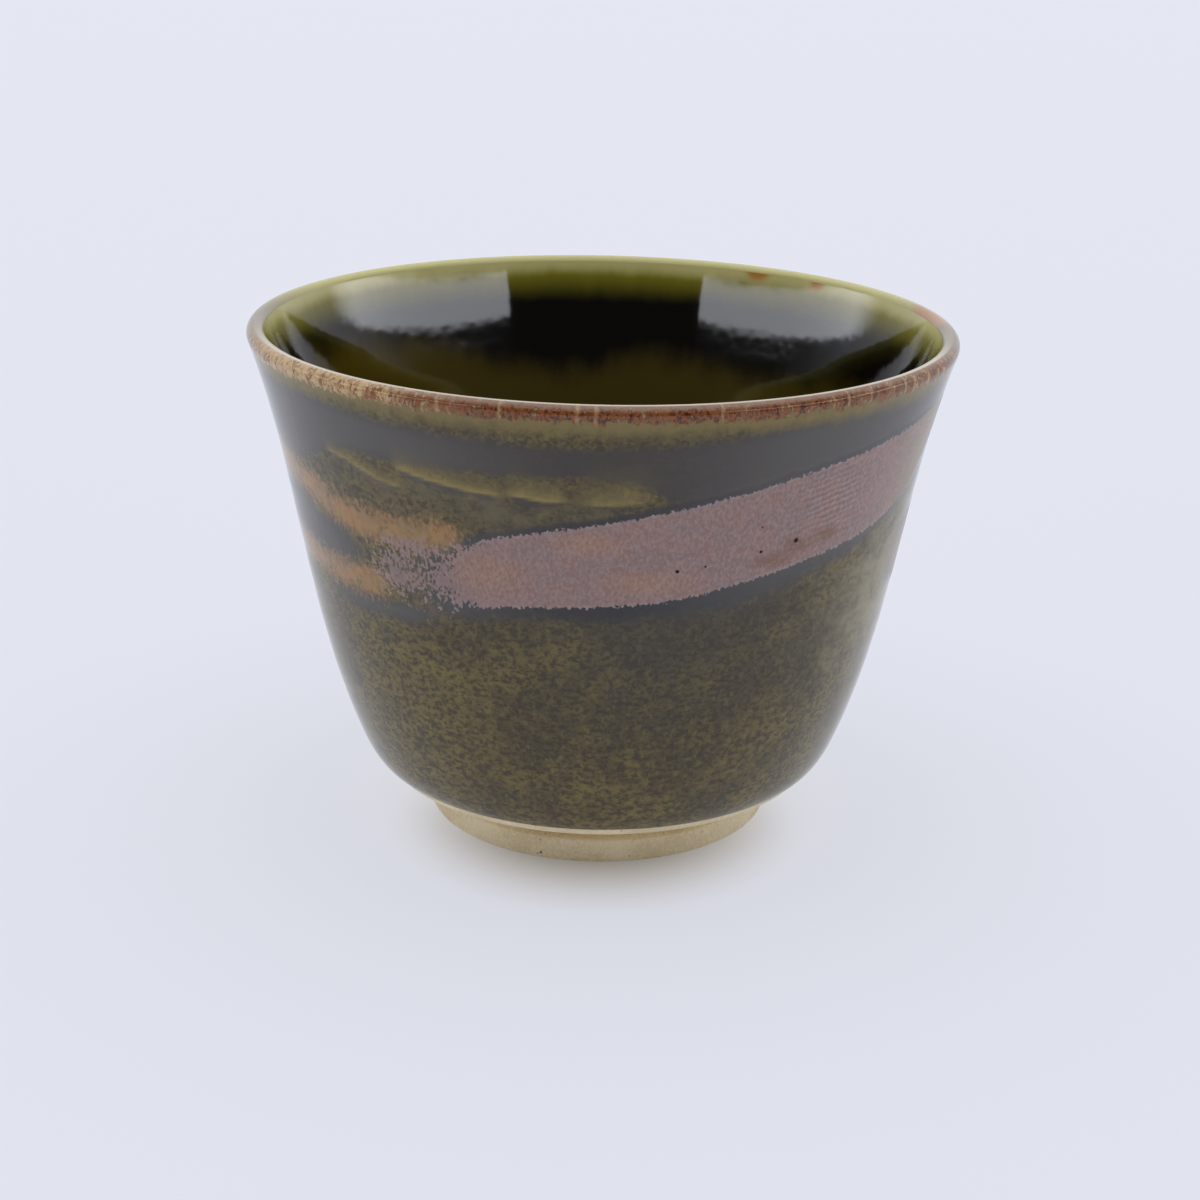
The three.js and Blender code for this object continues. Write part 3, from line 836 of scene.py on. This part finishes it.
def slip_marks(turn, height):
    """What the two strokes leave: their cover, their dryness, and the darker glaze round them."""
    front, back, over_front, over_back = stroke_marks(turn, height)
    round_turn = np.mod(turn, 360)
    begun = ease(*BACK_START, round_turn)
    back_start = BACK_START_DRY * (1 - begun)
    back_cover = back - BACK_LOSS[0] * np.maximum(ease(*BACK_LOSS[1:], round_turn), back_start)
    front_cover = front - FRONT_LOSS[0] * ease(*FRONT_LOSS[1:], turn)
    frayed = brightest(FRAYED_SPOTS, turn, height)
    cover = np.max((front_cover, back_cover, np.interp(frayed, (0, 1), FRAYED_COVER)), axis=0)
    on_front = front > back
    across = np.where(on_front, over_front, over_back)
    back_dry = np.maximum(ease(*BACK_DRY, round_turn), back_start)
    reach = np.where(across > 0, HALO_ABOVE, over(HALO_BELOW, turn))
    halo = 1 - ease(HALO_START, reach, -np.where(on_front, front, back_cover))
    strength, haze_reach, haze_left, haze_right = HAZE
    haze = strength * ease(haze_reach, 0, -front) * ease(*haze_left, turn) * ease(*haze_right, turn)
    return {
        "front_stroke": np.clip(front, FAR_OUTSIDE, -FAR_OUTSIDE),
        "back_stroke": np.clip(back, FAR_OUTSIDE, -FAR_OUTSIDE),
        "slip": np.clip(cover, -COVER_LIMIT, COVER_LIMIT),
        "across": across,
        "dry": np.maximum(frayed, np.where(on_front, ease(*FRONT_DRY, turn), back_dry)),
        "halo": halo * np.where(on_front, ease(*FRONT_LOSS[:0:-1], turn), begun),
        "haze": haze * (over_front < 0),
        "slate": FRAYED_SLATE * frayed,
    }


def wall_marks(turn, height):
    """Every mark of the outer wall, by its place."""
    marks = slip_marks(turn, height)
    marks["streak"], streak_shade = streak_marks(turn, height)
    top, bottom = over(SLATE_TOP, turn), over(SLATE_BOTTOM, turn)
    band = ease(*SLATE_BOTTOM_FADE, height - bottom) * ease(*SLATE_TOP_FADE, height - top)
    gap = along_lines(DARK_GAPS, DARK_GAP_ENDS, turn, height)
    # The slate mark also carries the painted shade under each streak.
    marks["slate"] = np.max((marks["slate"], band, gap, streak_shade), axis=0)
    marks["ochre"] = along_lines(OCHRE_TRACKS, OCHRE_ENDS, turn, height)
    marks["rise"] = height
    marks["lip_drip"] = np.max([np.exp(-((turn - at) / DRIP_HALF) ** 2) for at in LIP_DRIPS], axis=0)
    for name, places in SPOTS.items():
        marks[name] = brightest(places, turn, height)
    for name, places in SIDES.items():
        marks[name] = on_sides(places, turn)
    marks["thin"] += THIN_LOW[0] * ease(*THIN_LOW[1:], height)
    return marks


class Pattern:
    """Colours in one shader tree, laid by a piece's marks, by its own grain and by mixes of both."""

    def __init__(self, tree, grains, mixes, roughness=0.5):
        self.add = partial(add_node, tree)
        self.found = {}
        place = self.add("ShaderNodeTexCoord")["Object"]
        for name, (size, squeeze, detail) in grains.items():
            where = self.add("ShaderNodeMapping", {"Vector": place, "Scale": (1, 1, squeeze)})[0]
            self.found[name] = self.add("ShaderNodeTexNoise", {
                "Vector": where, "Scale": 1 / (size * MM), "Detail": detail, "Roughness": roughness})[0]
        for name, (total, shares) in mixes.items():
            for part, share in shares.items():
                total = self.add("ShaderNodeMath", {0: self.source(part), 1: share, 2: total},
                                 operation="MULTIPLY_ADD")[0]
            self.found[name] = total

    def source(self, name):
        """A grain or a mix, or else the piece's mark of that name."""
        if name not in self.found:
            self.found[name] = self.add("ShaderNodeAttribute", attribute_name=name)["Fac"]
        return self.found[name]

    def mask(self, strength, *steps):
        """A strength, times each source as it is or eased in between two values."""
        for step in steps:
            if isinstance(step, str):
                value = self.source(step)
            else:
                value = self.add("ShaderNodeMapRange", {0: self.source(step[0]), 1: step[1], 2: step[2]},
                                 interpolation_type="SMOOTHSTEP")[0]
            strength = self.add("ShaderNodeMath", {0: value, 1: strength}, operation="MULTIPLY")[0]
        return strength

    def laid(self, colours, base, layers):
        """Colours laid one over the other on a base colour."""
        shown = (*getattr(colours, base), 1)
        for name, *recipe in layers:
            top = (*getattr(colours, name), 1)
            shown = self.add("ShaderNodeMix", {0: self.mask(*recipe), 6: shown, 7: top}, data_type="RGBA")[2]
        return shown


def glaze_pattern_tree(colours):
    """Colour, roughness and relief of the outer wall and lip, from the marks and the glaze's own grain."""
    tree = new_tree("glaze pattern", "ShaderNodeTree", (
        ("Colour", "OUTPUT", "Color"), ("Roughness", "OUTPUT", "Float"), ("Relief", "OUTPUT", "Float")))
    add = partial(add_node, tree)
    pattern = Pattern(tree, GRAINS, MIXES, GRAIN_ROUGHNESS)
    skipped, dry, edge = (pattern.source(name) for name in ("skipped", "dry", "grainy_edge"))
    inside = add("ShaderNodeMath", {0: skipped, 1: dry, 2: edge}, operation="MULTIPLY_ADD")[0]
    pattern.found["inside"] = inside
    edges = (pattern.source("soft_outside"), pattern.source("soft_inside"))
    brushed = pattern.mask(1, ("inside", *edges), "cover")
    on_lip = pattern.mask(1, ON_LIP)
    painted = pattern.laid(colours, "olive_mid", GROUND)
    for cover, base, layers in ((brushed, "slip", SLIP), (on_lip, "rust", LIP)):
        painted = add("ShaderNodeMix", {0: cover, 6: painted, 7: pattern.laid(colours, base, layers)},
                      data_type="RGBA")[2]
    # The brush's lines: painted shade and highlight in the colour, and real relief in the bump.
    lines = add("ShaderNodeMath", {0: pattern.source("combing")}, operation="SINE")[0]
    combed = add("ShaderNodeMath", {0: lines, 1: pattern.source("comb")}, operation="MULTIPLY")[0]
    shade = add("ShaderNodeMath", {0: combed, 1: COMB_SHADE, 2: 1.0}, operation="MULTIPLY_ADD")[0]
    lit = add("ShaderNodeHueSaturation", {"Value": shade, "Color": painted})[0]
    grainy = pattern.mask(1, "grit", ("inside", *RELIEF_EDGE))
    relief = add("ShaderNodeMath", {0: combed, 1: COMB_RELIEF, 2: grainy}, operation="MULTIPLY_ADD")[0]
    satin = add("ShaderNodeMapRange", {0: pattern.mask(1, ("inside", *SATIN_EDGE)), 3: GLAZE_ROUGHNESS,
                                       4: SLIP_ROUGHNESS})[0]
    rough = add("ShaderNodeMapRange", {0: on_lip, 3: satin, 4: LIP_ROUGHNESS})[0]
    add("NodeGroupOutput", {0: lit, 1: rough, 2: relief})
    return tree


def new_material(name):
    """A material with an empty tree."""
    material = bpy.data.materials.new(name)
    material.use_nodes = True
    material.node_tree.nodes.clear()
    return material


def finish_material(material, inputs):
    """Give a material its surface."""
    add = partial(add_node, material.node_tree)
    add("ShaderNodeOutputMaterial", {0: add("ShaderNodeBsdfPrincipled", inputs)[0]})
    return material


def patterned_glaze(name, colours):
    """Fired glaze over stoneware: glassy, so it mirrors the room over the mottled colour below."""
    made = bpy.data.materials.get(name)
    if made:
        return made
    material = new_material(name)
    add = partial(add_node, material.node_tree)
    pattern = bpy.data.node_groups.get("glaze pattern") or glaze_pattern_tree(colours)
    shown, rough, relief = add("ShaderNodeGroup", node_tree=pattern)
    bump = add("ShaderNodeBump", {"Height": relief, "Distance": 0.02 * MM, "Strength": 0.6})[0]
    return finish_material(material, {"Base Color": shown, "Roughness": rough, "Normal": bump, "IOR": 1.5})


def liner_glaze(colours):
    """The same glaze, thick and dark inside: near black, and green where it drained off the lip."""
    material = new_material("dark olive liner glaze")
    pattern = Pattern(material.node_tree, LINER_GRAINS, LINER_MIXES)
    shown = pattern.laid(colours, "liner_dark", LINER)
    bump = pattern.add("ShaderNodeBump", {"Height": pattern.source("peel"), "Distance": 0.02 * MM,
                                          "Strength": 0.5})[0]
    return finish_material(material, {"Base Color": shown, "Roughness": 0.05, "IOR": 1.52, "Normal": bump})


def bare_stoneware(colours):
    """Unglazed fired stoneware, turned and sponged: dry, with fine sand and a few iron specks."""
    made = bpy.data.materials.get("bare stoneware")
    if made:
        return made
    material = new_material("bare stoneware")
    pattern = Pattern(material.node_tree, CLAY_GRAINS, CLAY_MIXES)
    shown = pattern.laid(colours, "clay_shade", CLAY)
    bump = pattern.add("ShaderNodeBump", {"Height": pattern.source("sand"), "Distance": 0.03 * MM,
                                          "Strength": 0.5})[0]
    return finish_material(material, {"Base Color": shown, "Roughness": pattern.source("dryness"),
                                      "IOR": 1.45, "Normal": bump})


def burnt_shaded_pinhole(colours):
    """Bottom of a burst bubble: burnt dark, and painted near black as the shade of a hole too deep for
    light.
    """
    material = new_material("burnt pinhole")
    pattern = Pattern(material.node_tree, PINHOLE_GRAINS, PINHOLE_MIXES)
    shown = pattern.laid(colours, "pinhole", PINHOLE)
    return finish_material(material, {"Base Color": shown, "Roughness": pattern.source("dryness"),
                                      "IOR": 1.3})


class CUP_OT_clay_body(bpy.types.Operator):
    """Throw the clay wall and floor, bare on the ledge and underneath"""

    bl_idname = "cup.clay_body"
    bl_label = "Clay Body"

    def execute(self, context):
        sizes, colours = context.scene.cup_sizes, context.scene.cup_colours
        seat = sizes.foot_radius - sizes.groove_depth
        ledge = sizes.foot_height + sizes.ledge_rise
        low, high = outside_lines(sizes)
        finished = np.vstack((low, high[1:], lip_points(sizes, CLAY_LIP_STEPS)[1:], inside_line(sizes)[1:]))
        thickness = np.full(len(finished), sizes.glaze)
        thickness[0] = sizes.glaze_edge
        clay = clay_under(finished, thickness)[::CLAY_THINNING]
        clay[-1] = (0, sizes.foot_height + sizes.floor_thickness - sizes.glaze)
        under = evenly(((0, sizes.foot_height), (seat, sizes.foot_height), (sizes.ledge_radius, ledge),
                        tuple(clay[0])), sizes.turning_spacing / LEDGE_POINTS)
        under = np.vstack((under[:1], tool_lines(sizes, under)[1:-1]))
        piece = turned_piece(sizes, "thrown_body", np.vstack((under, clay)), bare_stoneware(colours),
                             CLAY_FACETS, sizes.wobble)
        stand_for(piece, "clay_body")
        return {"FINISHED"}


class CUP_OT_foot_ring(bpy.types.Operator):
    """Turn the bare foot ring with its groove and well"""

    bl_idname = "cup.foot_ring"
    bl_label = "Foot Ring"

    def execute(self, context):
        sizes, colours = context.scene.cup_sizes, context.scene.cup_colours
        inner = sizes.foot_radius - sizes.foot_ring_width
        neck = sizes.foot_radius - sizes.groove_depth
        base = sizes.foot_radius - sizes.foot_draft
        top = sizes.foot_wall + sizes.groove_slope
        corners = [(inner, 0), (base, 0), (sizes.foot_radius, sizes.foot_wall), (neck, top),
                   (neck, sizes.foot_height), (inner + sizes.foot_well_draft, sizes.foot_height)]
        outline = []
        for index, corner in enumerate(corners[:3]):
            outline += rounded(corners[index - 1], corner, corners[index + 1], sizes.foot_round)
        outline += corners[3:] + outline[:1]
        profile = tool_lines(sizes, evenly(outline, sizes.turning_spacing / FOOT_POINTS))
        profile[:, 1] = np.clip(profile[:, 1], 0, sizes.foot_height)
        profile[-1] = profile[0]
        piece = turned_piece(sizes, "turned_foot", profile, bare_stoneware(colours), FOOT_FACETS, 0.0)
        stand_for(piece, "foot_ring")
        return {"FINISHED"}


class CUP_OT_outer_glaze(bpy.types.Operator):
    """Lay the olive coat on the outside and mark where its colours go"""

    bl_idname = "cup.outer_glaze"
    bl_label = "Outer Glaze"

    def execute(self, context):
        sizes, colours = context.scene.cup_sizes, context.scene.cup_colours
        line = outside_lines(sizes)[0]
        thickness = np.full(len(line), sizes.glaze)
        thickness[0] = sizes.glaze_edge
        piece = turned_piece(sizes, "olive_coat", coat_loop(line, thickness),
                             patterned_glaze("olive ash glaze", colours), sizes.facets, sizes.wobble)
        turn, height, radius = wall_places(sizes, piece.data)
        marks = wall_marks(turn, height)
        hidden = radius * MM < np.interp(height * MM, line[:, 1], line[:, 0]) - sizes.glaze / 2
        for name in ("front_stroke", "back_stroke"):
            marks[name][hidden] = FAR_OUTSIDE
        store_marks(piece.data, marks)
        stand_for(piece, "outer_glaze")
        return {"FINISHED"}


class CUP_OT_rim_glaze(bpy.types.Operator):
    """Lay the thin brown coat over the lip"""

    bl_idname = "cup.rim_glaze"
    bl_label = "Rim Glaze"

    def execute(self, context):
        sizes, colours = context.scene.cup_sizes, context.scene.cup_colours
        line = np.vstack((outside_lines(sizes)[1], lip_points(sizes, LIP_STEPS)[1:]))
        piece = turned_piece(sizes, "rust_lip", coat_loop(line, sizes.glaze),
                             patterned_glaze("rust brown rim glaze", colours), sizes.lip_facets,
                             sizes.wobble)
        turn, height, radius = wall_places(sizes, piece.data)
        lip_radius, centre, start, _ = lip_shape(sizes)
        bend = np.arctan2(height - centre[1] / MM, radius - centre[0] / MM)
        bend = np.where(bend < -math.pi / 2, bend + math.tau, bend)
        over_lip = (centre[1] + lip_radius * math.sin(start)) / MM + lip_radius / MM * (bend - start)
        marks = wall_marks(turn, np.where(bend > start, over_lip, height))
        store_marks(piece.data, marks)
        stand_for(piece, "rim_glaze")
        return {"FINISHED"}


class CUP_OT_liner_glaze(bpy.types.Operator):
    """Line the inside with the dark coat"""

    bl_idname = "cup.liner_glaze"
    bl_label = "Liner Glaze"

    def execute(self, context):
        sizes, colours = context.scene.cup_sizes, context.scene.cup_colours
        piece = turned_piece(sizes, "dark_liner", coat_loop(inside_line(sizes), sizes.glaze),
                             liner_glaze(colours), LINER_FACETS, sizes.wobble)
        turn, height, _ = wall_places(sizes, piece.data)
        store_marks(piece.data, {"rise": height, "depth": over(INNER_OLIVE, np.mod(turn, 360)) - height,
                                 "spots": brightest(INNER_SPOTS, turn, height)})
        stand_for(piece, "liner_glaze")
        return {"FINISHED"}


class CUP_OT_strokes(bpy.types.Operator):
    """Brush both strokes on the olive coat"""

    bl_idname = "cup.strokes"
    bl_label = "Brushed Strokes"

    def execute(self, context):
        sizes, colours = context.scene.cup_sizes, context.scene.cup_colours
        tree = stroke_tree()
        for name, node, mark in (("front_brushed_slip", "brush_stroke_front", "front_stroke"),
                                 ("back_brushed_slip", "brush_stroke_back", "back_stroke")):
            piece = new_piece(name)
            run_tree(piece, tree, Wall=bpy.data.objects["olive_coat"], Mark=mark, Lift=sizes.stroke_lift,
                     Margin=sizes.stroke_margin, Material=patterned_glaze("rose slip under glaze", colours))
            solid = piece.modifiers.new("body", "SOLIDIFY")
            solid.thickness = sizes.stroke_body
            solid.offset = -1
            keep_evaluated(piece)
            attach(piece, BODY)
            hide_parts(node)
        return {"FINISHED"}


class CUP_OT_pinholes(bpy.types.Operator):
    """Set the pinholes in the front stroke: flat beads, burnt dark and painted with the shade of a hole"""

    bl_idname = "cup.pinholes"
    bl_label = "Pinholes"

    def execute(self, context):
        sizes, colours = context.scene.cup_sizes, context.scene.cup_colours
        line = outside_lines(sizes)[0]
        turn, height, size = np.array(PINHOLES).T
        radius = np.interp(height * MM, line[:, 1], line[:, 0]) + sizes.stroke_lift
        bearing = np.radians(turn)
        x, y = radius * np.sin(bearing), -radius * np.cos(bearing)
        z = height * MM * (1 - rim_slope(sizes) * x)
        piece = new_piece("slip_pinholes", np.column_stack((x, y, z)))
        store_marks(piece.data, {"bead_radius": size * MM})
        run_tree(piece, bead_tree(), Flatness=PINHOLE_FLATNESS, Lean=math.tan(sizes.lip_lean),
                 Material=burnt_shaded_pinhole(colours))
        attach(piece, BODY)
        return {"FINISHED"}


class CUP_OT_stage(bpy.types.Operator):
    """Set up the pale floor, the two soft boxes and the camera"""

    bl_idname = "cup.stage"
    bl_label = "Stage"

    def execute(self, context):
        studio = context.scene.cup_studio
        self.lay_floor(studio)
        self.light(context.scene, studio)
        self.place_camera(context.scene, studio)
        context.scene.view_settings.view_transform = "Standard"
        return {"FINISHED"}

    def lay_floor(self, studio):
        """A pale floor that glows, its glow dimmed round the cup in a painted contact shadow and tinted
        there with a painted warm bounce from the clay.
        """
        bearings = np.linspace(0, math.tau, FLOOR_FACETS, endpoint=False)
        ring = [(studio.floor_radius * math.cos(b), studio.floor_radius * math.sin(b), 0) for b in bearings]
        floor = new_piece("pale_floor")
        floor.data.from_pydata(ring, [], [list(range(len(ring)))])
        material = new_material("pale matt floor")
        add = partial(add_node, material.node_tree)
        place = add("ShaderNodeTexCoord")["Object"]
        # Painted contact shadow: the glow is dimmed by the distance from a point in front of the cup's axis.
        away = add("ShaderNodeVectorMath", {0: place, 1: (0, -studio.shade_forward, 0)},
                   operation="DISTANCE")["Value"]
        share = add("ShaderNodeMapRange", {0: away, 1: studio.shade_from, 2: studio.shade_to,
                                           3: studio.shade_least, 4: 1.0},
                    interpolation_type="SMOOTHSTEP")[0]
        painted_bounce_tint = add("ShaderNodeMix", {0: share, 6: (*studio.painted_bounce_colour, 1), 7: (*studio.panel_colour, 1)},
                   data_type="RGBA")[2]
        glow = add("ShaderNodeMath", {0: share, 1: studio.floor_glow}, operation="MULTIPLY")[0]
        floor.data.materials.append(finish_material(material, {
            "Base Color": (*studio.floor_colour, 1), "Roughness": 0.9, "Specular IOR Level": 0.1,
            "Emission Color": painted_bounce_tint, "Emission Strength": glow}))

    def light(self, scene, studio):
        """Two soft boxes, left and right of the camera, in a dim room with a pale backdrop."""
        scene.world = bpy.data.worlds.new("soft box studio")
        scene.world.use_nodes = True
        tree = scene.world.node_tree
        tree.nodes.clear()
        add = partial(add_node, tree)
        x, y, z = add("ShaderNodeSeparateXYZ", {0: add("ShaderNodeTexCoord")["Generated"]})
        aside = add("ShaderNodeMath", {0: x}, operation="ABSOLUTE")[0]
        ahead = add("ShaderNodeMath", {0: y, 1: -1.0}, operation="MULTIPLY")[0]
        turn = add("ShaderNodeMath", {0: aside, 1: ahead}, operation="ARCTAN2")[0]
        height = add("ShaderNodeMath", {0: z}, operation="ARCSINE")[0]
        past = add("ShaderNodeMath", {0: turn, 1: studio.panel_from}, operation="SUBTRACT")[0]
        over_edge = add("ShaderNodeMath", {0: past, 1: studio.panel_drop, 2: height},
                        operation="MULTIPLY_ADD")[0]
        upper = studio.panel_low + studio.panel_span
        box = 1.0
        for value, limit, soft in ((turn, studio.panel_from, studio.panel_edge),
                                   (turn, studio.panel_to, -studio.panel_fade),
                                   (over_edge, studio.panel_low, studio.panel_edge),
                                   (over_edge, upper, -studio.panel_edge)):
            edge = add("ShaderNodeMapRange", {0: value, 1: limit - soft / 2, 2: limit + soft / 2},
                       interpolation_type="SMOOTHSTEP")[0]
            box = add("ShaderNodeMath", {0: edge, 1: box}, operation="MULTIPLY")[0]
        rays = add("ShaderNodeLightPath")
        low = add("ShaderNodeMapRange", {0: turn, 1: studio.sweep_from, 2: studio.sweep_to,
                                         3: studio.fill_strength, 4: studio.sweep_strength},
                  interpolation_type="SMOOTHSTEP")[0]
        top = add("ShaderNodeMapRange", {0: height, 1: studio.top_low, 2: studio.top_high, 3: low,
                                         4: studio.top_strength}, interpolation_type="SMOOTHSTEP")[0]
        strength = add("ShaderNodeMath", {0: box, 1: studio.panel_strength, 2: top},
                       operation="MULTIPLY_ADD")[0]
        boxes = add("ShaderNodeBackground", {0: (*studio.panel_colour, 1), 1: strength})[0]
        backdrop = add("ShaderNodeBackground", {0: (*studio.backdrop, 1)})[0]
        shown = add("ShaderNodeMixShader", {0: rays["Is Camera Ray"], 1: boxes, 2: backdrop})[0]
        add("ShaderNodeOutputWorld", {0: shown})

    def place_camera(self, scene, studio):
        """A level camera tipped down, then rolled about its own line of sight."""
        data = bpy.data.cameras.new("camera")
        data.lens = studio.lens
        data.sensor_width = studio.sensor
        camera = bpy.data.objects.new("camera", data)
        scene.collection.objects.link(camera)
        tipped = Matrix.Rotation(math.pi / 2 - studio.camera_pitch, 4, "X")
        place = Matrix.Translation(Vector((0, -studio.camera_distance, studio.camera_height)))
        camera.matrix_world = place @ tipped @ Matrix.Rotation(studio.camera_roll, 4, "Z")
        scene.camera = camera


OPERATORS = (CUP_OT_clay_body, CUP_OT_foot_ring, CUP_OT_outer_glaze, CUP_OT_rim_glaze, CUP_OT_liner_glaze,
             CUP_OT_strokes, CUP_OT_pinholes, CUP_OT_stage)


class CUP_PT_panel(bpy.types.Panel):
    """Lists the cup's pieces and the stage in the sidebar"""

    bl_idname = "CUP_PT_panel"
    bl_label = "Conical Cup"
    bl_space_type = "VIEW_3D"
    bl_region_type = "UI"
    bl_category = "Cup"

    def draw(self, context):
        for operator in OPERATORS:
            self.layout.operator(operator.bl_idname)


GROUPS = {"cup_sizes": CupSizes, "cup_colours": CupColours, "cup_studio": StudioSettings}


def register():
    for item in (*GROUPS.values(), *OPERATORS, CUP_PT_panel):
        bpy.utils.register_class(item)
    for name, group in GROUPS.items():
        setattr(bpy.types.Scene, name, PointerProperty(type=group))


def unregister():
    for name in GROUPS:
        delattr(bpy.types.Scene, name)
    for item in (CUP_PT_panel, *reversed(OPERATORS), *reversed(GROUPS.values())):
        bpy.utils.unregister_class(item)


def main():
    """Build the cup and its stage."""
    register()
    for operator in OPERATORS:
        group, name = operator.bl_idname.split(".")
        getattr(getattr(bpy.ops, group), name)()


if __name__ == "__main__":
    main()
